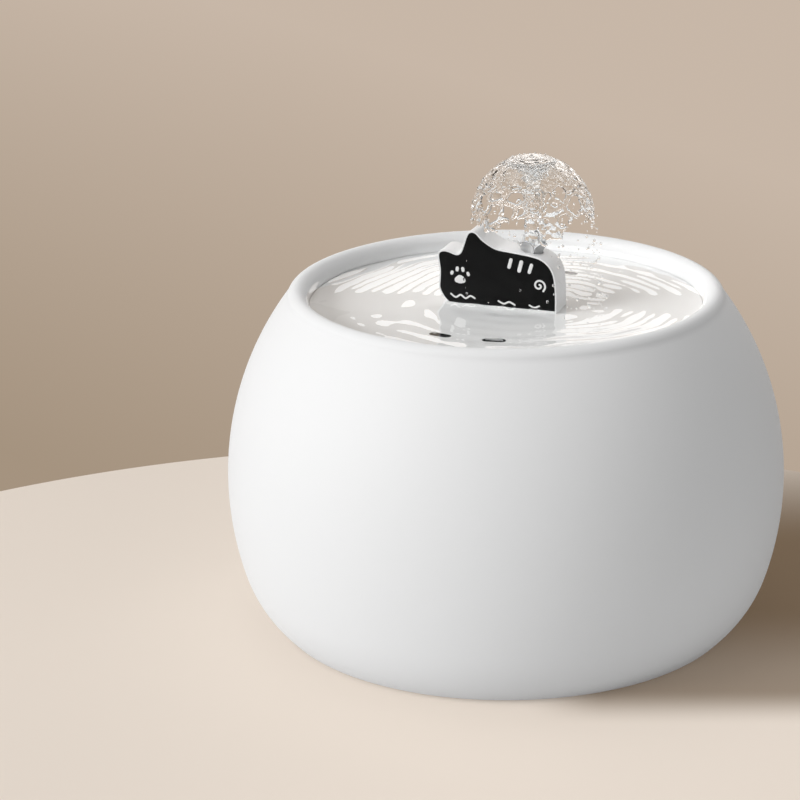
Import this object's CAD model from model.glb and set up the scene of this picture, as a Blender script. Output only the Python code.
import math
import random
import bmesh
import bpy
from mathutils import Matrix, Vector, noise


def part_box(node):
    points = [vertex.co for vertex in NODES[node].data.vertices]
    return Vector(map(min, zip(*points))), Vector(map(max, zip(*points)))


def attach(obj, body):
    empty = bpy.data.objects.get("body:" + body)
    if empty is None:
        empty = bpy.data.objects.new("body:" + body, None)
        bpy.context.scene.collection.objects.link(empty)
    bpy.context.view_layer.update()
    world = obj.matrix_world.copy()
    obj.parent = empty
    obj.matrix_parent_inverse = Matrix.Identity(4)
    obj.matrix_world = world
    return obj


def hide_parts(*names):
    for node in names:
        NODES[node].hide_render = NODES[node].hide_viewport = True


bl_info = {
    "name": "Pet Fountain",
    "version": (1, 0, 0),
    "blender": (4, 5, 0),
    "location": "View3D > Sidebar > Fountain",
    "description": "Dresses a ceramic pet fountain: bowl, tray, ornament, pump, filter and running water",
    "category": "Object",
}

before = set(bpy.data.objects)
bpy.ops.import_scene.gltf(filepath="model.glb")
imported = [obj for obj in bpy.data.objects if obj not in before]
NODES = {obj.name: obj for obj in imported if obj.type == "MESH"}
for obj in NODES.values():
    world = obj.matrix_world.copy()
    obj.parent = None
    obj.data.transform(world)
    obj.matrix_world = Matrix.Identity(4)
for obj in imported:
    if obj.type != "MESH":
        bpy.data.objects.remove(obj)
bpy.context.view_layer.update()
MM = 0.001

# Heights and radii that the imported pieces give, in metres
BOWL_LOW, BOWL_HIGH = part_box("ceramic_bowl")
BOWL_RADIUS = BOWL_HIGH[0]
BOWL_FOOT = BOWL_LOW[2]
BOWL_LIP = BOWL_HIGH[2]
POOL_LOW, POOL_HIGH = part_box("water_pool")
TRAY_TOP = POOL_LOW[2]
WATER_TOP = POOL_HIGH[2]
DOME_LOW, DOME_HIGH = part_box("water_dome")
SPRAY_X = (DOME_LOW[0] + DOME_HIGH[0]) / 2
SPRAY_Y = (DOME_LOW[1] + DOME_HIGH[1]) / 2
SPRAY_DROP = 4.2 * MM  # the photographed spray tops out this far below the solid
SPRAY_TOP = DOME_HIGH[2] - SPRAY_DROP
SPRAY_RADIUS = (DOME_HIGH[0] - DOME_LOW[0]) / 2
NOZZLE_LOW, NOZZLE_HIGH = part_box("nozzle")
NOZZLE_SEAT = TRAY_TOP + 22.2 * MM


# Small helpers

def polar(radius, angle):
    return radius * math.cos(angle), radius * math.sin(angle)


def link_object(name, mesh):
    thing = bpy.data.objects.new(name, mesh)
    bpy.context.scene.collection.objects.link(thing)
    return thing


def smooth(mesh, sharp):
    """Shades a mesh smooth, except at edges sharper than an angle in degrees."""
    mesh.shade_smooth()
    mesh.set_sharp_from_angle(angle=math.radians(sharp))


def finish_normals(mesh, sharp):
    """Merges doubles, turns the faces outwards and shades them."""
    work = bmesh.new()
    work.from_mesh(mesh)
    bmesh.ops.remove_doubles(work, verts=work.verts, dist=1e-7)
    bmesh.ops.recalc_face_normals(work, faces=work.faces)
    work.to_mesh(mesh)
    work.free()
    smooth(mesh, sharp)
    mesh.update()


def mesh_object(name, verts, faces, sharp=35.0):
    mesh = bpy.data.meshes.new(name)
    mesh.from_pydata(verts, [], faces)
    mesh.validate()
    finish_normals(mesh, sharp)
    return link_object(name, mesh)


def tube(name, verts, count, sharp):
    """A closed skin over loops of count points each: a cap at either end and quads between the loops."""
    faces = [list(range(count)), list(range(len(verts) - count, len(verts)))]
    for first in range(0, len(verts) - count, count):
        for index in range(count):
            after = (index + 1) % count
            faces.append((first + index, first + after, first + count + after, first + count + index))
    return mesh_object(name, verts, faces, sharp)


def plain(thing, sharp):
    """Replaces an object's mesh by its evaluated one and drops its modifiers."""
    graph = bpy.context.evaluated_depsgraph_get()
    graph.update()
    mesh = bpy.data.meshes.new_from_object(thing.evaluated_get(graph))
    mesh.name = thing.name
    thing.modifiers.clear()
    thing.data = mesh
    finish_normals(mesh, sharp)


def combine(thing, operation, tools, sharp):
    """Joins the tools to a piece (UNION) or cuts them out of it (DIFFERENCE), and removes the tools."""
    for tool in tools:
        step = thing.modifiers.new(operation, "BOOLEAN")
        step.operation = operation
        step.solver = "EXACT"
        step.object = tool
    plain(thing, sharp)
    for tool in tools:
        bpy.data.objects.remove(tool)


def arc(centre, start, end, steps):
    """Points of an arc in the (r, z) plane, from start to the direction of end."""
    radius = math.dist(centre, start)
    first, last = (math.degrees(math.atan2(point[1] - centre[1], point[0] - centre[0])) for point in (start, end))
    points = []
    for step in range(steps + 1):
        out, up = polar(radius, math.radians(first + (last - first) * step / steps))
        points.append((centre[0] + out, centre[1] + up))
    return points


def lathe(name, outline, steps=192, centre=(0.0, 0.0), sharp=35.0):
    """Turns a closed (r, z) outline about a vertical axis; points at r = 0 close on the axis."""
    verts = []
    rows = []
    for r, z in outline:
        if r < 1e-7:
            rows.append([len(verts)] * steps)
            verts.append((centre[0], centre[1], z))
            continue
        rows.append(list(range(len(verts), len(verts) + steps)))
        for step in range(steps):
            x, y = polar(r, 2 * math.pi * step / steps)
            verts.append((centre[0] + x, centre[1] + y, z))
    faces = []
    for index, row in enumerate(rows):
        after = rows[(index + 1) % len(rows)]
        if row[0] == row[1] and after[0] == after[1]:
            continue
        for step in range(steps):
            ahead = (step + 1) % steps
            faces.append(list(dict.fromkeys((row[step], row[ahead], after[ahead], after[step]))))
    return mesh_object(name, verts, faces, sharp)


def rod(name, radius, start, end):
    """A plain cylinder between two points, used to carve holes."""
    start = Vector(start)
    end = Vector(end)
    along = end - start
    work = bmesh.new()
    bmesh.ops.create_cone(work, cap_ends=True, segments=64, radius1=radius, radius2=radius, depth=along.length)
    turn = along.to_track_quat("Z", "Y").to_matrix().to_4x4()
    work.transform(Matrix.Translation((start + end) / 2) @ turn)
    mesh = bpy.data.meshes.new(name)
    work.to_mesh(mesh)
    work.free()
    return link_object(name, mesh)


def joined(name, things, sharp):
    """Several meshes as one object."""
    work = bmesh.new()
    for thing in things:
        work.from_mesh(thing.data)
    mesh = bpy.data.meshes.new(name)
    work.to_mesh(mesh)
    work.free()
    for thing in things:
        bpy.data.objects.remove(thing)
    smooth(mesh, sharp)
    return link_object(name, mesh)


def dress(thing, material):
    thing.data.materials.clear()
    thing.data.materials.append(material)


def seat(thing, body, slot, *replaced):
    """Gives a finished piece its body, its slot and the nodes that it stands for."""
    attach(thing, body)
    if replaced:
        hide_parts(*replaced)


# Nodes and materials

def fill(tree, node, inputs):
    """Sets each input of a node to a value, or links it to a socket or to a node's first output."""
    for name, value in inputs.items():
        if isinstance(value, bpy.types.Node):
            value = next(socket for socket in value.outputs if socket.enabled)
        if isinstance(value, bpy.types.NodeSocket):
            tree.links.new(value, node.inputs[name])
        else:
            node.inputs[name].default_value = value
    return node


def add(tree, kind, inputs=None, **settings):
    """A new node; its settings come first, because they decide which inputs it has."""
    node = tree.nodes.new(kind)
    for name, value in settings.items():
        setattr(node, name, value)
    return fill(tree, node, inputs or {})


def maths(tree, operation, *values, **settings):
    return add(tree, "ShaderNodeMath", dict(enumerate(values)), operation=operation, **settings)


def blend(tree, factor, first, second):
    return add(tree, "ShaderNodeMix", {"Factor": factor, "A": first, "B": second}, data_type="RGBA")


def new_tree(name, kind, inputs, outputs):
    """An empty node group with its input and output nodes; each socket is (label, kind, default)."""
    tree = bpy.data.node_groups.new(name, kind)
    for direction, sockets in (("INPUT", inputs), ("OUTPUT", outputs)):
        for label, socket, default in sockets:
            made = tree.interface.new_socket(label, in_out=direction, socket_type="NodeSocket" + socket)
            if default is not None:
                made.default_value = default
    return tree, tree.nodes.new("NodeGroupInput"), tree.nodes.new("NodeGroupOutput")


def new_material(name):
    material = bpy.data.materials.new(name)
    material.use_nodes = True
    return material, material.node_tree


def surface_grain():
    """Fine grain and slow mottling that most finishes share."""
    if "Surface Grain" in bpy.data.node_groups:
        return bpy.data.node_groups["Surface Grain"]
    tree, given, result = new_tree(
        "Surface Grain", "ShaderNodeTree",
        [("Grain Scale", "Float", 900.0), ("Mottle Scale", "Float", 25.0),
         ("Tone", "Color", (0.8, 0.8, 0.8, 1.0)), ("Second Tone", "Color", (0.7, 0.7, 0.7, 1.0)),
         ("Roughness", "Float", 0.4), ("Roughness Spread", "Float", 0.08)],
        [("Color", "Color", None), ("Roughness", "Float", None), ("Height", "Float", None)])
    place = add(tree, "ShaderNodeTexCoord").outputs["Object"]
    grain = add(tree, "ShaderNodeTexNoise",
                {"Detail": 3.0, "Vector": place, "Scale": given.outputs["Grain Scale"]})
    mottle = add(tree, "ShaderNodeTexNoise",
                 {"Detail": 4.0, "Vector": place, "Scale": given.outputs["Mottle Scale"]})
    tones = blend(tree, mottle, given.outputs["Tone"], given.outputs["Second Tone"])
    centred = maths(tree, "SUBTRACT", mottle, 0.5)
    spread = maths(tree, "MULTIPLY_ADD", centred, given.outputs["Roughness Spread"], given.outputs["Roughness"])
    fill(tree, result, {"Color": tones, "Roughness": spread, "Height": grain})
    return tree


def grained(name, tone, second=None, roughness=0.4, spread=0.1, grain=900.0, mottle=25.0, bump=0.1,
            depth=0.0001, metallic=0.0, specular=0.5, subsurface=0.0):
    """A Principled material whose colour, roughness and bump come from the shared grain group."""
    material, tree = new_material(name)
    surface = add(tree, "ShaderNodeGroup", {
        "Grain Scale": grain, "Mottle Scale": mottle, "Tone": (*tone, 1.0),
        "Second Tone": (*(second or [0.94 * value for value in tone]), 1.0),
        "Roughness": roughness, "Roughness Spread": spread}, node_tree=surface_grain())
    relief = add(tree, "ShaderNodeBump", {"Strength": bump, "Distance": depth, "Height": surface.outputs["Height"]})
    fill(tree, tree.nodes["Principled BSDF"], {
        "Metallic": metallic, "Specular IOR Level": specular, "Subsurface Weight": subsurface,
        "Subsurface Radius": (0.003, 0.0025, 0.002), "Base Color": surface.outputs["Color"],
        "Roughness": surface.outputs["Roughness"], "Normal": relief})
    return material


def water_material():
    """Clear water; lamp rays pass straight through, so what lies below it stays lit."""
    if "clear water" in bpy.data.materials:
        return bpy.data.materials["clear water"]
    material, tree = new_material("clear water")
    shader = fill(tree, tree.nodes["Principled BSDF"], {
        "Base Color": (0.985, 0.995, 1.0, 1.0), "Roughness": 0.0, "IOR": 1.333, "Transmission Weight": 1.0})
    choose = add(tree, "ShaderNodeMixShader", {
        "Fac": add(tree, "ShaderNodeLightPath").outputs["Is Shadow Ray"], 1: shader,
        2: add(tree, "ShaderNodeBsdfTransparent")})
    fill(tree, tree.nodes["Material Output"], {"Surface": choose})
    return material


# Settings

class FountainSettings(bpy.types.PropertyGroup):
    bowl_colour: bpy.props.FloatVectorProperty(
        name="Bowl Colour", description="Glaze of the ceramic bowl", subtype="COLOR", size=3,
        default=(0.92, 0.92, 0.92), min=0.0, max=1.0)
    plate_colour: bpy.props.FloatVectorProperty(
        name="Plate Colour", description="Dark plate on the front of the block", subtype="COLOR", size=3,
        default=(0.003, 0.003, 0.003), min=0.0, max=1.0)
    ripple_height: bpy.props.FloatProperty(
        name="Ripple Height", description="Height of the rings on the water", subtype="DISTANCE",
        unit="LENGTH", default=0.00020, min=0.0, max=0.002)
    droplet_count: bpy.props.IntProperty(
        name="Droplets", description="Loose drops that fall round the spray", default=230, min=0, max=2000)


# Bowl

WALL = 6.0 * MM
FLOOR = 7.0 * MM
BELLY = 52.8 * MM
LIP_WIDTH = 6.6 * MM
LIP_RISE = 2.9 * MM
MOUTH = 70.7 * MM
LEDGE = 109.8 * MM
LEDGE_RADIUS = 66.0 * MM
LEDGE_EDGE = 3.0 * MM
SLOPE_FOOT = 92.0 * MM
HEEL = 20.0 * MM
HEEL_DRAW = 4.9 * MM
FOOT_RADIUS = 82.4 * MM
FOOT_ROUNDING = 3.0 * MM
FOOT_RING = 68.0 * MM
FOOT_RECESS = 2.0 * MM
GLAND_HEIGHT = 40.0 * MM
GLAND_HOLE = 4.8 * MM
GLAND_SPOT = 8.2 * MM
GLAND_FLAT = 97.6 * MM
SEAL_FLAT = 93.9 * MM
PAD_CIRCLE = 75 * MM
PAD_HOLE = 5.05 * MM
PAD_DEPTH = 1.2 * MM


def bend_of(draw, height):
    """Radius of the arc that draws in by an amount over a height."""
    return (draw ** 2 + height ** 2) / (2 * draw)


def at_height(centre, radius, z):
    """The outer point of a circle at a height."""
    return centre[0] + math.sqrt(radius ** 2 - (centre[1] - z) ** 2), z


def bowl_outline():
    """The wall's closed outline, built from the same arcs as the solid, with finer steps."""
    foot = BOWL_FOOT
    outer_lip = MOUTH + LIP_WIDTH
    lip_start = BOWL_LIP - LIP_RISE
    belly = foot + BELLY
    ledge = foot + LEDGE
    inner_floor = foot + FLOOR
    upper = bend_of(BOWL_RADIUS - outer_lip, lip_start - belly)
    lower = bend_of(HEEL_DRAW, BELLY - HEEL)
    upper_centre = (BOWL_RADIUS - upper, belly)
    lower_centre = (BOWL_RADIUS - lower, belly)
    heel_point = (BOWL_RADIUS - HEEL_DRAW, foot + HEEL)
    # The heel's arc goes on from the lower one in the same direction and ends on the foot
    out = (heel_point[0] - lower_centre[0]) / lower
    down = (belly - heel_point[1]) / lower
    run = heel_point[0] - FOOT_RADIUS
    heel = (run ** 2 + HEEL ** 2) / (2 * (run * out - HEEL * down))
    inner_heel = heel - WALL
    heel_centre = (heel_point[0] - heel * out, heel_point[1] + heel * down)
    heel_start = at_height(heel_centre, heel, foot + FOOT_ROUNDING * 0.8)
    lip_centre = (MOUTH + LIP_WIDTH / 2, BOWL_LIP - bend_of(LIP_RISE, LIP_WIDTH / 2))
    inner_heel_top = (heel_centre[0] + inner_heel * out, heel_centre[1] - inner_heel * down)
    slope = at_height(upper_centre, upper - WALL, foot + SLOPE_FOOT)
    outside_belly = (BOWL_RADIUS, belly)
    inside_belly = (BOWL_RADIUS - WALL, belly)
    rounding = FOOT_RADIUS - FOOT_ROUNDING * 0.6
    points = [(0.0, foot + FOOT_RECESS), (FOOT_RING, foot + FOOT_RECESS), (FOOT_RING, foot),
              (rounding - 0.2 * MM, foot), ((rounding + heel_start[0]) / 2 + 0.35 * MM, foot + 0.55 * MM)]
    points += arc(heel_centre, heel_start, heel_point, 24)[:-1]
    points += arc(lower_centre, heel_point, outside_belly, 24)[:-1]
    points += arc(upper_centre, outside_belly, (outer_lip, lip_start), 44)[:-1]
    points += arc(lip_centre, (outer_lip, lip_start), (MOUTH, lip_start), 20)
    points += [(MOUTH, ledge + 0.4 * MM), (MOUTH - 0.4 * MM, ledge), (LEDGE_RADIUS + 0.5 * MM, ledge),
               (LEDGE_RADIUS, ledge - 0.5 * MM), (LEDGE_RADIUS, ledge - LEDGE_EDGE)]
    points += arc(upper_centre, slope, inside_belly, 30)[:-1]
    points += arc(lower_centre, inside_belly, inner_heel_top, 16)[:-1]
    points += arc(heel_centre, inner_heel_top, at_height(heel_centre, inner_heel, inner_floor), 16)
    points += [(0.0, inner_floor)]
    return points


class FOUNTAIN_OT_bowl(bpy.types.Operator):
    """Turns the ceramic bowl and carves its gland hole and pad recesses"""
    bl_idname = "fountain.bowl"
    bl_label = "Make Bowl"

    def execute(self, context):
        bowl = lathe("glazed_bowl", bowl_outline(), steps=288, sharp=30.0)
        height = BOWL_FOOT + GLAND_HEIGHT
        inside, outside = 60 * MM, 120 * MM
        tools = [rod("gland_hole", GLAND_HOLE, (0, inside, height), (0, outside, height)),
                 rod("outer_flat", GLAND_SPOT, (0, GLAND_FLAT, height), (0, outside, height)),
                 rod("inner_flat", GLAND_SPOT, (0, inside, height), (0, SEAL_FLAT, height))]
        for number in range(4):
            x, y = polar(PAD_CIRCLE, math.radians(45 + 90 * number))
            tools.append(rod("pad_recess", PAD_HOLE, (x, y, -5 * MM), (x, y, BOWL_FOOT + PAD_DEPTH)))
        combine(bowl, "DIFFERENCE", tools, 30.0)
        tone = tuple(context.scene.fountain.bowl_colour)
        dress(bowl, grained("satin glaze", tone, [0.985 * value for value in tone], roughness=0.6, spread=0.05,
                            grain=1500.0, mottle=14.0, bump=0.22, depth=0.00012, specular=0.3))
        seat(bowl, "bowl", "bowl_glaze", "ceramic_bowl")
        return {"FINISHED"}


# Water on the tray

SLOT_CIRCLE = 44.0 * MM
SLOT_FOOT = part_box("filter_carbon")[1][2] - 0.1 * MM
SLOT_ANGLES = (-108 - 12.7, -108 + 12.7, 72 - 12.7, 72 + 12.7)
SLOT_HALF_WIDTH = 1.98 * MM
SLOT_HALF_RUN = 2.2 * MM
RING_SPACING = 8.6 * MM
FILM_EDGE = MOUTH + 0.15 * MM
FILM_UNDERSIDE = TRAY_TOP - 0.4 * MM
FILM_SHARP = 70.0
# Scale and level of the noise layers on the water: bend, fine, patch and chop
WATER_NOISE = ((28.0, 3.1), (75.0, 7.7), (17.0, 11.3), (130.0, 1.9))


def ripple(x, y, height):
    """Height of the water's surface: rings from the falling spray, bent by a slow swirl."""
    across = x - SPRAY_X
    back = y - SPRAY_Y
    distance = math.hypot(across, back)
    bend, fine, patch, chop = (noise.noise(Vector((x * scale, y * scale, level))) for scale, level in WATER_NOISE)
    phase = distance / RING_SPACING * 2 * math.pi + 3.8 * bend + 1.3 * fine
    swirl = math.sin(2 * math.atan2(back, across) + distance * 60)
    strength = 0.45 + 0.55 * patch + 0.18 * swirl
    rings = math.sin(phase) * max(strength, 0.1)
    splash = math.exp(-((distance - SPRAY_RADIUS) / (7 * MM)) ** 2)
    return height * (rings + 0.9 * bend + 0.35 * fine + chop * (0.14 + 0.7 * splash))


def surface_of_water(height):
    """The film of water as a closed body: rippled top, meniscus at the wall, flat underside."""
    rings = 150
    spokes = 360
    turns = [2 * math.pi * spoke / spokes for spoke in range(spokes)]
    verts = [(0.0, 0.0, WATER_TOP + ripple(0, 0, height))]
    for ring in range(1, rings + 1):
        radius = FILM_EDGE * (ring / rings)
        rise = 0.55 * MM * math.exp(-(FILM_EDGE - radius) / (0.9 * MM))
        calm = 1.0 - math.exp(-(FILM_EDGE - radius) / (2.5 * MM))
        for turn in turns:
            x, y = polar(radius, turn)
            verts.append((x, y, WATER_TOP - 0.3 * MM + rise + calm * ripple(x, y, height)))
    low = len(verts)
    verts += [(*polar(FILM_EDGE, turn), FILM_UNDERSIDE) for turn in turns]
    verts.append((0.0, 0.0, FILM_UNDERSIDE))
    faces = []
    for spoke in range(spokes):
        ahead = (spoke + 1) % spokes
        faces.append((0, 1 + spoke, 1 + ahead))
        for first in range(1, low - spokes, spokes):
            faces.append((first + spoke, first + spokes + spoke, first + spokes + ahead, first + ahead))
    outer = low - spokes
    for spoke in range(spokes):
        ahead = (spoke + 1) % spokes
        faces.append((outer + spoke, low + spoke, low + ahead, outer + ahead))
        faces.append((low + spoke, len(verts) - 1, low + ahead))
    return mesh_object("water_film", verts, faces, FILM_SHARP)


def slot_water(angle):
    """The water that stands in one drain slot, down to the filter."""
    steps = 24
    loop = []
    for step in range(steps):
        turn = 2 * math.pi * step / steps
        side = SLOT_HALF_RUN if math.sin(turn) > 0 else -SLOT_HALF_RUN
        out = SLOT_CIRCLE + SLOT_HALF_WIDTH * math.cos(turn)
        along = side + SLOT_HALF_WIDTH * math.sin(turn)
        loop.append((out * math.cos(angle) - along * math.sin(angle),
                     out * math.sin(angle) + along * math.cos(angle)))
    verts = [(x, y, z) for z in (SLOT_FOOT, TRAY_TOP + 1.5 * MM) for x, y in loop]
    return tube("slot_water", verts, steps, 40.0)


class FOUNTAIN_OT_water(bpy.types.Operator):
    """Lays the rippled film of water on the tray"""
    bl_idname = "fountain.water"
    bl_label = "Fill Tray"

    def execute(self, context):
        film = surface_of_water(context.scene.fountain.ripple_height)
        for angle in SLOT_ANGLES:
            combine(film, "UNION", [slot_water(math.radians(angle))], FILM_SHARP)
        inset = 0.3 * MM
        footprint = extruded_cat("footprint", -inset, inset - CAT_DEPTH / 2, CAT_DEPTH / 2 - inset, lower=0.5 * MM)
        lengthen(footprint, 0.6 * MM)
        combine(film, "DIFFERENCE", [footprint], FILM_SHARP)
        dress(film, water_material())
        seat(film, "tray", "water", "water_pool")
        return {"FINISHED"}


# Ornament

CAT_TURN = math.radians(18.0)
CAT_CENTRE = (-1.3 * MM, -1.9 * MM)
CAT_DEPTH = 12.0 * MM
CAT_FRONT = -CAT_DEPTH / 2
CAT_WALL = 1.2 * MM
PLATE_FACE = CAT_FRONT - 0.2 * MM
HOLLOW_FRONT = CAT_FRONT + 2.1 * MM
HOLLOW_FOOT = 2.0 * MM
RECESS_INSET = 0.55 * MM
RECESS_BACK = CAT_FRONT + 0.9 * MM
RECESS_FOOT = 3.4 * MM
PLATE_GAP = 0.05 * MM
STEM_HOLE = 3.9 * MM
NOZZLE_FLAT = 4.0 * MM

# The silhouette, clockwise from its lower left corner, in millimetres across and up
CAT_POINTS = (
    (-18.2, 0.0), (-18.6, 4.6), (-20.2, 6.8), (-21.6, 9.8), (-21.5, 13.0), (-21.4, 16.4), (-21.8, 19.4),
    (-22.0, 21.9), (-21.3, 23.2), (-19.6, 23.75), (-17.6, 23.5), (-15.8, 22.9), (-14.6, 22.8), (-13.6, 23.6),
    (-12.8, 25.6), (-12.2, 27.4), (-11.6, 29.2), (-10.7, 30.8), (-9.2, 31.4), (-7.6, 30.9), (-5.4, 28.8),
    (-2.7, 27.0), (0.0, 25.85), (4.6, 25.3), (9.3, 24.8), (12.7, 24.35), (16.1, 23.45), (19.1, 21.2),
    (20.8, 18.2), (21.5, 14.5), (21.8, 10.0), (21.8, 5.0), (21.8, 1.2), (21.4, 0.3), (20.6, 0.0),
)


def in_block(across, back, up):
    """A point of the block's own frame, in the fountain's frame."""
    x = CAT_CENTRE[0] + across * math.cos(CAT_TURN) + back * math.sin(CAT_TURN)
    y = CAT_CENTRE[1] - across * math.sin(CAT_TURN) + back * math.cos(CAT_TURN)
    return (x, y, TRAY_TOP + up)


def eased(start, end, leave, arrive, steps):
    """Points from start up to, but not on, end, along a curve with a pull at either end."""
    points = []
    for step in range(steps):
        t = step / steps
        points.append(start * (2 * t ** 3 - 3 * t ** 2 + 1) + leave * (t ** 3 - 2 * t ** 2 + t)
                      + end * (3 * t ** 2 - 2 * t ** 3) + arrive * (t ** 3 - t ** 2))
    return points


def outline_of_cat():
    """The silhouette as a smooth loop through its points, counter-clockwise, in metres."""
    spots = [Vector((x * MM, z * MM)) for x, z in reversed(CAT_POINTS)]
    loop = []
    for index, start in enumerate(spots):
        before = spots[index - 1]
        end = spots[(index + 1) % len(spots)]
        after = spots[(index + 2) % len(spots)]
        pull = (end - start).length
        leave = (end - before).normalized() * pull
        arrive = (after - start).normalized() * pull
        loop += [(spot.x, spot.y) for spot in eased(start, end, leave, arrive, 5)]
    return loop


def through(points, steps=6):
    """An open, evenly bending line through every point."""
    spots = [Vector(point) for point in points]
    line = []
    for index in range(len(spots) - 1):
        start, end = spots[index], spots[index + 1]
        before = spots[index - 1] if index else start
        after = spots[index + 2] if index + 2 < len(spots) else end
        line += eased(start, end, (end - before) * 0.5, (after - start) * 0.5, steps)
    return line + [spots[-1]]


def grown(points, distance):
    """The loop moved outwards by a distance, point by point along its normals."""
    result = []
    for index, point in enumerate(points):
        along = (Vector(points[(index + 1) % len(points)]) - Vector(points[index - 1])).normalized()
        result.append((point[0] + along.y * distance, point[1] - along.x * distance))
    return result


def cut_low(loop, lower):
    """The part of a loop above a height, closed by a straight line."""
    kept = []
    for index, (x, z) in enumerate(loop):
        last_x, last_z = loop[index - 1]
        if (z >= lower) != (last_z >= lower):
            share = (lower - last_z) / (z - last_z)
            kept.append((last_x + (x - last_x) * share, lower))
        if z >= lower:
            kept.append((x, z))
    return kept


def extruded_cat(name, grow, front, back, bevel=0.0, lower=None):
    """The silhouette drawn out from front to back, with its edges rounded by a bevel."""
    loop = grown(outline_of_cat(), grow)
    if lower is not None:
        loop = cut_low(loop, lower)
    layers = [(front, 0.0), (back, 0.0)]
    if bevel:
        curve = [(bevel * (1 - math.cos(angle)), -bevel * (1 - math.sin(angle)))
                 for angle in (math.pi / 2 * step / 4 for step in range(5))]
        layers = [(front + depth, inset) for depth, inset in curve]
        layers += [(back - depth, inset) for depth, inset in reversed(curve)]
    verts = []
    for depth, inset in layers:
        for x, z in (grown(loop, inset) if inset else loop):
            verts.append(in_block(x, depth, z))
    return tube(name, verts, len(loop), 40.0)


def lengthen(thing, height):
    """Draws the part of a tool below a height down through the tray's top."""
    for vert in thing.data.vertices:
        if vert.co.z < TRAY_TOP + height:
            vert.co.z = TRAY_TOP - 2.0 * MM


def stroke(name, points, width):
    """A slightly raised painted line with round ends, on the block's front."""
    line = through([(x * MM, z * MM) for x, z in points])
    half = width / 2
    height = 0.10 * MM
    caps = [math.cos(math.radians(angle)) for angle in (90, 60, 30, 0)]
    first = (line[1] - line[0]).normalized()
    last = (line[-1] - line[-2]).normalized()
    rows = [(line[0] - first * half * math.sin(math.acos(cap)), first, max(cap, 0.02)) for cap in caps]
    for index in range(1, len(line) - 1):
        rows.append((line[index], (line[index + 1] - line[index - 1]).normalized(), 1.0))
    rows += [(line[-1] + last * half * math.sin(math.acos(cap)), last, max(cap, 0.02)) for cap in reversed(caps)]
    verts = []
    sides = 10
    for spot, along, share in rows:
        for side in range(sides):
            across, raised = polar(share, 2 * math.pi * side / sides)
            verts.append(in_block(spot.x - along.y * half * across, PLATE_FACE - height * raised,
                                  spot.y + along.x * half * across))
    return tube(name, verts, sides, 70.0)


def curl(centre, radius, first, last, steps):
    """Points of a spiral that winds in to its centre."""
    points = []
    for step in range(steps + 1):
        x, y = polar(radius * (1.0 - 0.85 * step / steps), math.radians(first + (last - first) * step / steps))
        points.append((centre[0] + x, centre[1] + y))
    return points


# A paw print, three bars, a spiral and short waves: points and line width in millimetres
PAINTED_LINES = (
    (((-14.6, 13.3), (-13.6, 14.1), (-12.6, 13.3)), 2.1), (((-14.0, 12.9), (-13.2, 12.9)), 1.6),
    (((-16.7, 15.5), (-16.5, 16.0)), 1.15), (((-14.7, 16.9), (-14.6, 17.6)), 1.2),
    (((-12.5, 16.9), (-12.6, 17.6)), 1.2), (((-10.5, 15.5), (-10.7, 16.0)), 1.15),
    (((5.2, 22.3), (4.5, 19.6)), 1.25), (((9.0, 21.8), (8.2, 18.6)), 1.4), (((12.7, 21.0), (11.9, 18.4)), 1.25),
    (curl((15.5, 13.8), 2.4, -50, 430, 14), 0.7),
    (((-17.0, 8.0), (-15.2, 6.9), (-13.4, 7.9), (-11.6, 6.8), (-9.8, 7.8), (-8.2, 7.1)), 0.65),
    (((0.6, 6.9), (2.6, 6.1), (4.6, 6.9), (6.6, 6.0)), 0.65), (((12.0, 6.4), (13.8, 5.7), (15.6, 6.4)), 0.6),
)


class FOUNTAIN_OT_ornament(bpy.types.Operator):
    """Builds the block, its dark plate and the painted line work"""
    bl_idname = "fountain.ornament"
    bl_label = "Make Ornament"

    def execute(self, context):
        shell = extruded_cat("block_shell", 0.0, CAT_FRONT, CAT_DEPTH / 2, bevel=0.3 * MM)
        hollow = extruded_cat("hollow", -CAT_WALL, HOLLOW_FRONT, CAT_DEPTH / 2 - CAT_WALL, lower=HOLLOW_FOOT)
        lengthen(hollow, HOLLOW_FOOT + 0.05 * MM)
        recess = extruded_cat("recess", -RECESS_INSET, CAT_FRONT - 3 * MM, RECESS_BACK, lower=RECESS_FOOT)
        above = (SPRAY_X, SPRAY_Y, TRAY_TOP + 40 * MM)
        stem = rod("stem_hole", STEM_HOLE, (SPRAY_X, SPRAY_Y, TRAY_TOP + 10 * MM), above)
        flat = rod("nozzle_flat", NOZZLE_FLAT, (SPRAY_X, SPRAY_Y, NOZZLE_SEAT), above)
        combine(shell, "DIFFERENCE", [hollow, recess, stem, flat], 35.0)
        dress(shell, grained("block white", (0.9, 0.9, 0.9), roughness=0.4, grain=1500.0, mottle=60.0,
                             bump=0.05, depth=0.00003))
        seat(shell, "ornament", "block_white", "cat_shell")
        plate = extruded_cat("front_plate", -RECESS_INSET - PLATE_GAP, PLATE_FACE, RECESS_BACK - PLATE_GAP,
                             bevel=0.25 * MM, lower=RECESS_FOOT + PLATE_GAP)
        tone = tuple(context.scene.fountain.plate_colour)
        dress(plate, grained("plate black", tone, roughness=0.42, spread=0.08, grain=1200.0, mottle=80.0,
                             bump=0.05, depth=0.00003, specular=0.16))
        seat(plate, "ornament", "panel_black", "cat_panel")
        paint = joined("painted_lines", [stroke(f"line_{number}", points, width * MM)
                                         for number, (points, width) in enumerate(PAINTED_LINES)], 60.0)
        dress(paint, grained("line white", (0.86, 0.86, 0.85), roughness=0.4, grain=1500.0, bump=0.04,
                             depth=0.00002))
        seat(paint, "ornament", "block_white")
        return {"FINISHED"}


# Nozzle

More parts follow.
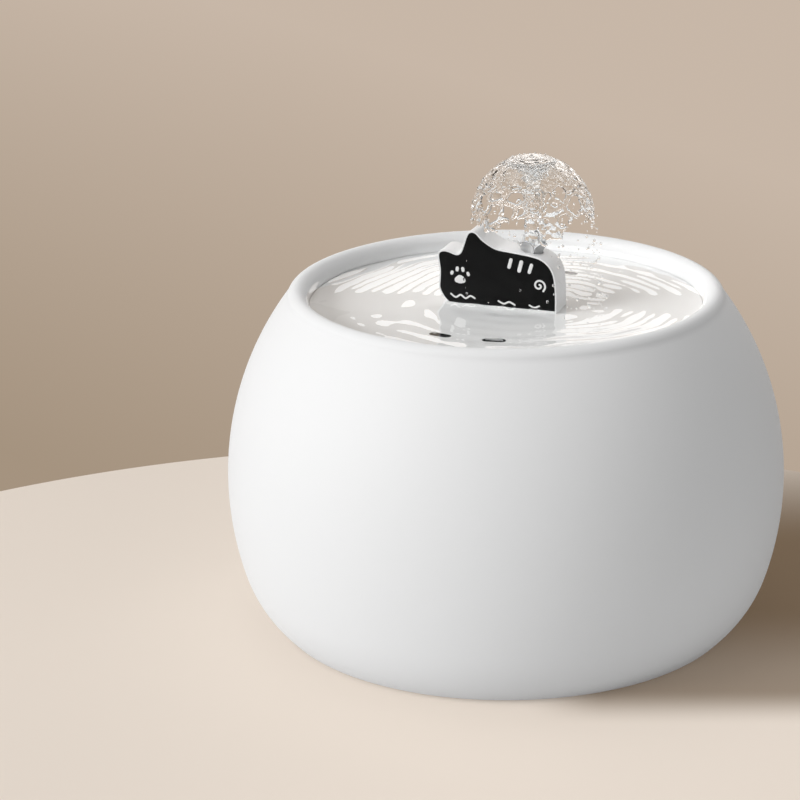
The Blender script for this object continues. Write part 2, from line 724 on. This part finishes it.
NOZZLE_BORE = 1.5 * MM
PETAL_LENGTH = 6.6 * MM
PETAL_WIDTH = 4.4 * MM
PETAL_WALL = 0.6 * MM
PETAL_FOOT = (1.8 * MM, NOZZLE_SEAT + 1.3 * MM)


def petal(name, angle, tilt):
    """One cupped petal that leans outwards from the nozzle's middle."""
    rows = 9
    columns = 7
    loop = [(column, 0.0) for column in range(columns)]
    loop += [(column, PETAL_WALL) for column in reversed(range(columns))]
    foot_x, foot_y = polar(PETAL_FOOT[0], angle)
    verts = []
    for row in range(rows):
        along = row / (rows - 1)
        half = PETAL_WIDTH / 2 * math.sin(math.pi * min(0.18 + 0.82 * along, 1.0)) ** 0.6 + 0.05 * MM
        lean = math.radians(tilt) * along ** 1.4
        for column, wall in loop:
            across = (column / (columns - 1) * 2 - 1) * half
            out = PETAL_LENGTH * along * math.sin(lean) + across ** 2 / (PETAL_WIDTH * 0.9)
            local = Vector((out + wall, across, PETAL_LENGTH * along * math.cos(lean * 0.8)))
            local.rotate(Matrix.Rotation(angle, 3, "Z"))
            verts.append((SPRAY_X + foot_x + local.x, SPRAY_Y + foot_y + local.y, PETAL_FOOT[1] + local.z))
    return tube(name, verts, len(loop), 50.0)


class FOUNTAIN_OT_nozzle(bpy.types.Operator):
    """Shapes the flower-like spray nozzle"""
    bl_idname = "fountain.nozzle"
    bl_label = "Make Nozzle"

    def execute(self, context):
        low, mid, top = NOZZLE_LOW[2], NOZZLE_SEAT, NOZZLE_HIGH[2]
        outline = [(NOZZLE_BORE, low)]
        outline += [(r * MM, level + rise * MM) for r, level, rise in (
            (2.55, low, 0.0), (2.6, low, 0.3), (2.6, mid, 0.0), (3.6, mid, 0.0), (3.9, mid, 0.3), (3.8, mid, 1.1),
            (3.3, mid, 1.5), (2.3, mid, 2.0), (2.4, top, -2.6), (2.2, top, -1.9))]
        outline += [(NOZZLE_BORE, top - 2.2 * MM)]
        parts = [lathe("nozzle_core", outline, steps=64, centre=(SPRAY_X, SPRAY_Y), sharp=40.0)]
        for number in range(6):
            parts.append(petal(f"petal_{number}", math.pi / 3 * number + 0.1, 50 if number % 2 else 34))
        flower = joined("spray_nozzle", parts, 45.0)
        dress(flower, grained("nozzle white", (0.72, 0.72, 0.72), roughness=0.3, grain=1500.0, mottle=90.0,
                              bump=0.04, depth=0.00003, subsurface=0.15))
        seat(flower, "nozzle", "nozzle_plastic", "nozzle")
        return {"FINISHED"}


# Spray

DOME_DROP = 26.0 * MM
SHEET_STEP = 0.42 * MM
FILM_RADIUS = 0.50 * MM
TEAR_START = 0.20
JET_RADIUS = 2.55 * MM
FINE_VOXEL = 0.33 * MM
DROP_WIDTHS = (0.16, 0.2, 0.24, 0.3, 0.38, 0.5)
DROP_STRETCH = 1.25


def dome_radius(depth):
    """Radius of the falling sheet at a depth below the spray's top."""
    share = min(depth / DOME_DROP, 1.0)
    return SPRAY_RADIUS * (1 - (1 - share) ** 2.2) ** (1 / 2.2)


def wrinkle(spot, scale):
    """Small waves on moving water, two sizes together."""
    return noise.noise(spot * scale) + 0.5 * noise.noise(spot * scale * 2.3 + Vector((5.0, 1.0, 3.0)))


def torn(spot, share):
    """True where the sheet has a hole: webs of film are left lower down, and strands near its edge."""
    tear = noise.noise(spot * 90.0 + Vector((2.0, 8.0, 4.0)))
    if share <= TEAR_START + 0.12 * tear:
        return False
    sway = (noise.noise(spot * 260.0), noise.noise(spot * 260.0 + Vector((9, 9, 9))), 0.0)
    bent = spot + Vector(sway) * 1.2 * MM
    web = noise.voronoi(Vector((bent.x * 190, bent.y * 190, bent.z * 165 + 4.0)))[0]
    width = 0.20 - 0.20 * (share - TEAR_START)
    return web[1] - web[0] > max(width, 0.07) + 0.10 * tear or share > 0.50 and tear < 1.5 * (share - 0.74)


def sheet_points(draw):
    """The dome: a whole sheet at the crown that tears into webs and strands lower down."""
    blobs = []
    depth = 0.0
    while depth < DOME_DROP:
        radius = dome_radius(depth)
        share = depth / DOME_DROP
        count = max(6, int(2 * math.pi * radius / SHEET_STEP))
        for index in range(count):
            spot = Vector((*polar(radius, 2 * math.pi * (index + 0.5 * draw.random()) / count), -depth))
            if torn(spot, share):
                continue
            rough = wrinkle(spot, 330.0) * min(0.15 + share * 5.0, 1.0)
            swell = 1.0 + 0.42 * rough + (0.16 if share > 0.34 else 0.0) - 0.25 * max(share - 0.7, 0.0)
            wave = 0.30 * MM * wrinkle(spot + Vector((1, 2, 3)), 210.0) * min(0.05 + 2.2 * share, 1.3)
            out = 1.0 + wave / max(radius, 2 * MM)
            blobs.append((spot.x * out, spot.y * out, -depth + 0.18 * MM * rough * min(share * 4, 1.0),
                          FILM_RADIUS * swell))
        slope = (dome_radius(depth + 0.05 * MM) - dome_radius(depth)) / (0.05 * MM)
        depth += SHEET_STEP / math.sqrt(1 + slope * slope)
    return blobs


def jet_points():
    """The rising jet, rough at its sides, and the trumpet where it opens under the crown."""
    blobs = []
    column = SPRAY_TOP - NOZZLE_HIGH[2] + 2.0 * MM
    depth = 1.5 * MM
    spokes = 34
    while depth < column:
        flare = JET_RADIUS + 6.8 * MM * math.exp(-(depth - 1.3 * MM) / (2.2 * MM))
        narrow = 1.0 - 0.30 * min(max((depth - 17 * MM) / (6 * MM), 0.0), 1.0)
        lean = 0.35 * MM * noise.noise(Vector((depth * 140, 2.0, 5.0)))
        for index in range(spokes):
            angle = 2 * math.pi * index / spokes
            spot = Vector((math.cos(angle) * 2.6 * MM, math.sin(angle) * 2.6 * MM, depth))
            radius = flare * narrow * (1.06 + 0.34 * wrinkle(spot, 430.0))
            x, y = polar(radius, angle)
            blobs.append((lean + x, y, -depth, 0.58 * MM))
            if depth > 4 * MM and index % 2:
                x, y = polar(radius * 0.5, angle)
                blobs.append((lean + x, y, -depth, 0.9 * MM))
        depth += 0.4 * MM
    return blobs


def point_cloud(name, spots, widths):
    """Loose points that carry a width each."""
    mesh = bpy.data.meshes.new(name + "_points")
    mesh.from_pydata(spots, [], [])
    mesh.attributes.new("width", "FLOAT", "POINT").data.foreach_set("value", widths)
    return link_object(name, mesh)


def spray_tree(name, label, default, build):
    """A Geometry Nodes tree with one named number; build makes its shape, which is then made real and
    given the material."""
    tree, given, result = new_tree(name, "GeometryNodeTree", [
        ("Geometry", "Geometry", None), (label, "Float", default), ("Material", "Material", None)],
        [("Geometry", "Geometry", None)])
    width = add(tree, "GeometryNodeInputNamedAttribute", {"Name": "width"}, data_type="FLOAT")
    shape = build(tree, given.outputs["Geometry"], width, given.outputs[label])
    real = add(tree, "GeometryNodeRealizeInstances", {"Geometry": shape})
    coat = add(tree, "GeometryNodeSetMaterial", {"Geometry": real, "Material": given.outputs["Material"]})
    fill(tree, result, {"Geometry": coat})
    return tree


def melted(tree, cloud, width, voxel):
    """Points become a volume, and the volume one smooth skin."""
    points = add(tree, "GeometryNodeMeshToPoints", {"Mesh": cloud, "Radius": width})
    volume = add(tree, "GeometryNodePointsToVolume", {
        "Points": points, "Radius": width, "Voxel Size": voxel}, resolution_mode="VOXEL_SIZE")
    return add(tree, "GeometryNodeVolumeToMesh", {
        "Volume": volume, "Voxel Size": voxel, "Threshold": 0.12}, resolution_mode="VOXEL_SIZE")


def scattered(tree, cloud, width, stretch):
    """An egg-shaped drop on every point, sized by the point's width."""
    ball = add(tree, "GeometryNodeMeshIcoSphere", {"Radius": 1.0, "Subdivisions": 3})
    tall = maths(tree, "MULTIPLY", width, stretch)
    size = add(tree, "ShaderNodeCombineXYZ", {"X": width, "Y": width, "Z": tall})
    return add(tree, "GeometryNodeInstanceOnPoints", {"Points": cloud, "Instance": ball, "Scale": size})


def apply_tree(thing, tree, values):
    """Runs a Geometry Nodes tree on a piece with named inputs and keeps the result as a plain mesh."""
    modifier = thing.modifiers.new(tree.name, "NODES")
    modifier.node_group = tree
    for item in tree.interface.items_tree:
        if item.in_out == "INPUT" and item.name in values:
            modifier[item.identifier] = values[item.name]
    plain(thing, 180.0)


def ruffle(thing):
    """Small lumps all over the moving water, calmer on the crown."""
    mesh = thing.data
    normals = [vert.normal.copy() for vert in mesh.vertices]
    for vert, normal in zip(mesh.vertices, normals):
        depth = SPRAY_TOP - vert.co.z
        calm = min(0.08 + max(depth - 2.2 * MM, 0.0) / (5 * MM), 1.0)
        vert.co += normal * (0.20 * MM * calm * wrinkle(vert.co, 560.0))
    mesh.update()


def falling_drops(draw, count):
    """Places and widths of drops on their way down from the dome's torn edge to the water."""
    spots = []
    widths = []
    while len(spots) < count:
        fall = draw.random() ** 0.8
        angle = draw.uniform(0, 2 * math.pi)
        radius = SPRAY_RADIUS * (0.97 + 0.20 * fall) + draw.gauss(0, 1.1 * MM)
        depth = 16 * MM + fall * (SPRAY_TOP - WATER_TOP - 17 * MM)
        x = SPRAY_X + radius * math.cos(angle)
        y = SPRAY_Y + radius * math.sin(angle)
        across = (x - CAT_CENTRE[0]) * math.cos(CAT_TURN) - (y - CAT_CENTRE[1]) * math.sin(CAT_TURN)
        behind = (x - CAT_CENTRE[0]) * math.sin(CAT_TURN) + (y - CAT_CENTRE[1]) * math.cos(CAT_TURN)
        # None inside the block, and few in front of its plate
        if -23 * MM < across < 22.5 * MM and (abs(behind) < 7.5 * MM or behind < 0 and draw.random() < 0.88):
            continue
        spots.append((x, y, SPRAY_TOP - depth))
        widths.append(draw.choice(DROP_WIDTHS) * MM * draw.uniform(0.85, 1.15))
    return spots, widths


class FOUNTAIN_OT_spray(bpy.types.Operator):
    """Builds the rising jet, the dome of falling water and its loose drops"""
    bl_idname = "fountain.spray"
    bl_label = "Make Spray"

    def execute(self, context):
        blobs = sheet_points(random.Random(11)) + jet_points()
        spots = [(SPRAY_X + x, SPRAY_Y + y, SPRAY_TOP - 0.75 * MM + z) for x, y, z, width in blobs]
        spray = point_cloud("spray_dome", spots, [blob[3] for blob in blobs])
        apply_tree(spray, spray_tree("Melt Drops", "Voxel Size", FINE_VOXEL, melted),
                   {"Voxel Size": FINE_VOXEL, "Material": water_material()})
        ruffle(spray)
        seat(spray, "nozzle", "water", "water_dome")
        drops = point_cloud("loose_drops", *falling_drops(random.Random(5), context.scene.fountain.droplet_count))
        apply_tree(drops, spray_tree("Scatter Drops", "Stretch", DROP_STRETCH, scattered),
                   {"Stretch": DROP_STRETCH, "Material": water_material()})
        seat(drops, "nozzle", "water")
        return {"FINISHED"}


# Carried-over pieces: node, material name, tone and what else its finish needs

FINISHES = {
    "foot_pads": ("pad silicone", (0.42, 0.42, 0.41), dict(roughness=0.7, bump=0.2)),
    "gland_bush": ("gland white", (0.74, 0.74, 0.73), dict(roughness=0.4, bump=0.08)),
    "gland_seal": ("seal silicone", (0.35, 0.35, 0.35), dict(roughness=0.65, bump=0.15)),
    "gland_nut": ("nut white", (0.7, 0.7, 0.69), dict(roughness=0.45, bump=0.1)),
    "riser_tube": ("riser milky", (0.72, 0.76, 0.78), dict(roughness=0.25, subsurface=0.3)),
    "pump_body": ("pump black", (0.022, 0.022, 0.024), dict(roughness=0.5, bump=0.25, grain=1400.0)),
    "volute_housing": ("volute black", (0.026, 0.026, 0.028), dict(roughness=0.48, bump=0.25, grain=1400.0)),
    "intake_cover": ("cover black", (0.024, 0.024, 0.026), dict(roughness=0.5, bump=0.25, grain=1400.0)),
    "flow_slider": ("slider grey", (0.5, 0.5, 0.49), dict(roughness=0.45)),
    "front_bush": ("bush rubber", (0.03, 0.03, 0.03), dict(roughness=0.7)),
    "rear_bush": ("rear bush rubber", (0.03, 0.03, 0.03), dict(roughness=0.7)),
    "impeller_shaft": ("shaft ceramic", (0.82, 0.82, 0.78), dict(roughness=0.2)),
    "stator_core": ("core steel", (0.36, 0.36, 0.37), dict(roughness=0.35, metallic=1.0, bump=0.3, grain=2500.0)),
    "stator_coil": ("coil copper", (0.62, 0.27, 0.1), dict(roughness=0.3, metallic=1.0, bump=0.4, grain=1800.0)),
    "stator_potting": ("potting black", (0.012, 0.012, 0.012), dict(roughness=0.22, bump=0.05, mottle=60.0)),
    "suction_cups": ("cup silicone", (0.55, 0.58, 0.59), dict(roughness=0.3, subsurface=0.3)),
    "filter_basket": ("basket white", (0.74, 0.74, 0.72), dict(roughness=0.5, bump=0.12)),
    "filter_cotton": ("wadding", (0.78, 0.78, 0.74), dict(roughness=0.95, bump=1.0, depth=0.0006, grain=500.0)),
    "filter_resin": ("amber beads", (0.55, 0.33, 0.1), dict(roughness=0.35, bump=1.0, depth=0.0006, grain=1100.0)),
    "filter_carbon": ("carbon bed", (0.006, 0.006, 0.006), dict(roughness=0.6, bump=1.0, depth=0.0008, grain=700.0)),
    "impeller": ("impeller white", (0.7, 0.7, 0.67), dict(roughness=0.45)),
    "rotor_magnet": ("ferrite", (0.05, 0.05, 0.052), dict(roughness=0.5, metallic=0.3)),
    "tray": ("tray white", (0.86, 0.86, 0.855), dict(roughness=0.28, bump=0.04, depth=0.00003, mottle=18.0)),
}


class FOUNTAIN_OT_fittings(bpy.types.Operator):
    """Gives the pump, filter, tray and gland pieces their finishes"""
    bl_idname = "fountain.fittings"
    bl_label = "Finish Fittings"

    def execute(self, context):
        for node, (name, tone, options) in FINISHES.items():
            dress(NODES[node], grained(name, tone, **options))
        return {"FINISHED"}


# Stage: colours are linear, lengths are metres

CAMERA_PLACE = (0.0, -919.88 * MM, 393.885 * MM)
CAMERA_PITCH = 18.8257
CAMERA_LENS = 121.98
CAMERA_SHIFT = -0.1325
WALL_LIGHT = (0.575, 0.475, 0.391, 1.0)
WALL_DARK = (0.376, 0.292, 0.214, 1.0)
WALL_BOUNCE = (0.5, 0.5, 0.5, 1.0)
WALL_SLOPE = (0.57, 0.0, 2.1)
WALL_LEVEL = 1.62
TABLE_LEFT = (0.812, 0.720, 0.633, 1.0)
TABLE_RIGHT = (0.925, 0.820, 0.721, 1.0)
TABLE_SHADE = (0.24, 0.17, 0.11, 1.0)
TABLE_BOUNCE = (0.74, 0.74, 0.74, 1.0)
TABLE_GLOW = 0.4
# Axis, from, to, value at the start and at the end; the shade is the product of its ranges
TABLE_BLEND = ("X", -0.17, 0.02, 0.0, 1.0)
SHADE_RANGES = (("Y", -0.101, -0.072, 0.0, 0.80), ("X", 0.005, 0.035, 0.0, 1.0), ("Y", -0.06, 0.0, 1.0, 1.25),
                ("Y", 0.06, 0.22, 1.0, 0.0), ("Z", -0.006, -0.001, 0.0, 1.0))
TABLE_CENTRE = (-0.0223, -0.1592)
TABLE_EDGE = ((0.0, 0.0), (0.3345, 0.0), (0.3373, -0.0012), (0.3385, -0.004), (0.3385, -0.012), (0.3345, -0.016),
              (0.0, -0.016))
WORLD_STRENGTH = 0.42

# Name, place, height that it faces on the fountain's axis, size, watts. The water mirrors the back lamps.
LAMPS = (
    ("key", (-3.28, -1.70, 1.95), 0.06, (2.0, 2.0), 99.0),
    ("back_0", (0.15, 1.75, 0.46), 0.12, (1.9, 0.24), 1.8),
    ("back_1", (0.15, 1.75, 0.82), 0.12, (1.9, 0.24), 2.1),
    ("back_2", (0.15, 1.75, 1.22), 0.12, (1.9, 0.24), 2.3),
    ("top", (-0.3, 0.2, 1.9), 0.1, (1.0, 1.0), 4.0),
)


def area_lamp(name, place, height, size, power):
    data = bpy.data.lights.new(name, "AREA")
    data.shape = "RECTANGLE"
    data.size, data.size_y = size
    data.energy = power
    lamp = link_object(name, data)
    lamp.location = place
    lamp.rotation_euler = (Vector((0, 0, height)) - Vector(place)).to_track_quat("-Z", "Y").to_euler()


def stage_paint(name, bounce, show):
    """Matt paint that bounces neutral light; the camera and mirrors see the shader that show makes."""
    material, tree = new_material(name)
    tree.nodes.remove(tree.nodes["Principled BSDF"])
    path = add(tree, "ShaderNodeLightPath")
    first = maths(tree, "MAXIMUM", path.outputs["Is Camera Ray"], path.outputs["Is Glossy Ray"])
    sees = maths(tree, "MAXIMUM", first, path.outputs["Is Transmission Ray"])
    soft = add(tree, "ShaderNodeBsdfDiffuse", {"Color": bounce})
    choose = add(tree, "ShaderNodeMixShader", {"Fac": sees, 1: soft, 2: show(tree)})
    fill(tree, tree.nodes["Material Output"], {"Surface": choose})
    return material


def wall_shown(tree):
    """The wall's tone as the camera shows it: lighter upwards and to the right."""
    place = add(tree, "ShaderNodeTexCoord").outputs["Object"]
    slope = add(tree, "ShaderNodeVectorMath", {0: place, 1: WALL_SLOPE}, operation="DOT_PRODUCT")
    level = maths(tree, "ADD", slope, WALL_LEVEL, use_clamp=True)
    tone = blend(tree, level, WALL_DARK, WALL_LIGHT)
    return add(tree, "ShaderNodeEmission", {"Color": tone})


def table_shown(tree):
    """The table's warm tone, with the deeper shade to the fountain's right painted in. Part of it is shown
    as plain colour, and the rest is lit and keeps the fountain's real shadow."""
    place = add(tree, "ShaderNodeTexCoord").outputs["Object"]
    axes = add(tree, "ShaderNodeSeparateXYZ", {"Vector": place}).outputs

    def ease(axis, low, high, start, end):
        return add(tree, "ShaderNodeMapRange", {
            "Value": axes[axis], "From Min": low, "From Max": high, "To Min": start, "To Max": end},
            interpolation_type="SMOOTHSTEP")

    shade = ease(*SHADE_RANGES[0])
    for span in SHADE_RANGES[1:]:
        shade = maths(tree, "MULTIPLY", shade, ease(*span))
    lit = blend(tree, ease(*TABLE_BLEND), TABLE_LEFT, TABLE_RIGHT)
    tone = blend(tree, shade, lit, TABLE_SHADE)
    matt = add(tree, "ShaderNodeBsdfDiffuse", {"Color": tone})
    glow = add(tree, "ShaderNodeEmission", {"Color": tone})
    return add(tree, "ShaderNodeMixShader", {"Fac": TABLE_GLOW, 1: matt, 2: glow})


def make_world():
    """Even studio light; behind everything the camera sees the backdrop's tone."""
    world = bpy.data.worlds.new("studio")
    world.use_nodes = True
    tree = world.node_tree
    light = fill(tree, tree.nodes["Background"], {"Color": (1.0, 1.0, 1.0, 1.0), "Strength": WORLD_STRENGTH})
    seen = add(tree, "ShaderNodeBackground", {"Color": WALL_LIGHT})
    choose = add(tree, "ShaderNodeMixShader", {
        "Fac": add(tree, "ShaderNodeLightPath").outputs["Is Camera Ray"], 1: light, 2: seen})
    fill(tree, tree.nodes["World Output"], {"Surface": choose})
    return world


def backdrop_sweep():
    """A wide floor far below the table that curves up into a wall."""
    half_width, low, front, back, bend, top = 5.0, -0.75, -4.0, 1.4, 1.0, 4.0
    profile = [(front, low), *arc((back, low + bend), (back, low), (back + bend, low + bend), 12), (back + bend, top)]
    verts = [(side * half_width, y, z) for y, z in profile for side in (-1, 1)]
    faces = [(index * 2, index * 2 + 1, index * 2 + 3, index * 2 + 2) for index in range(len(profile) - 1)]
    mesh = bpy.data.meshes.new("backdrop")
    mesh.from_pydata(verts, [], faces)
    mesh.shade_smooth()
    return link_object("backdrop", mesh)


class FOUNTAIN_OT_stage(bpy.types.Operator):
    """Adds the round table top, the backdrop, the lamps and the camera"""
    bl_idname = "fountain.stage"
    bl_label = "Set Stage"

    def execute(self, context):
        table = lathe("table_top", TABLE_EDGE, steps=256, centre=TABLE_CENTRE, sharp=60.0)
        dress(table, stage_paint("table paint", TABLE_BOUNCE, table_shown))
        backdrop = backdrop_sweep()
        dress(backdrop, stage_paint("backdrop paint", WALL_BOUNCE, wall_shown))
        context.scene.world = make_world()
        for lamp in LAMPS:
            area_lamp(*lamp)
        data = bpy.data.cameras.new("camera")
        data.sensor_width = 36.0
        data.lens = CAMERA_LENS
        data.shift_x = CAMERA_SHIFT
        data.clip_start = 0.01
        camera = link_object("camera", data)
        camera.location = CAMERA_PLACE
        camera.rotation_euler = (math.radians(90 - CAMERA_PITCH), 0, 0)
        context.scene.camera = camera
        context.scene.view_settings.view_transform = "Standard"
        return {"FINISHED"}


class FOUNTAIN_PT_panel(bpy.types.Panel):
    """Lists the steps that build the fountain"""
    bl_idname = "FOUNTAIN_PT_panel"
    bl_label = "Fountain"
    bl_space_type = "VIEW_3D"
    bl_region_type = "UI"
    bl_category = "Fountain"

    def draw(self, context):
        for name in FountainSettings.__annotations__:
            self.layout.prop(context.scene.fountain, name)
        for step in STEPS:
            self.layout.operator(step.bl_idname)


STEPS = (FOUNTAIN_OT_bowl, FOUNTAIN_OT_fittings, FOUNTAIN_OT_water, FOUNTAIN_OT_ornament, FOUNTAIN_OT_nozzle,
         FOUNTAIN_OT_spray, FOUNTAIN_OT_stage)
CLASSES = (FountainSettings, *STEPS, FOUNTAIN_PT_panel)


def register():
    for item in CLASSES:
        bpy.utils.register_class(item)
    bpy.types.Scene.fountain = bpy.props.PointerProperty(type=FountainSettings)


def unregister():
    del bpy.types.Scene.fountain
    for item in reversed(CLASSES):
        bpy.utils.unregister_class(item)


def main():
    register()
    for step in STEPS:
        group, name = step.bl_idname.split(".")
        getattr(getattr(bpy.ops, group), name)()


if __name__ == "__main__":
    main()
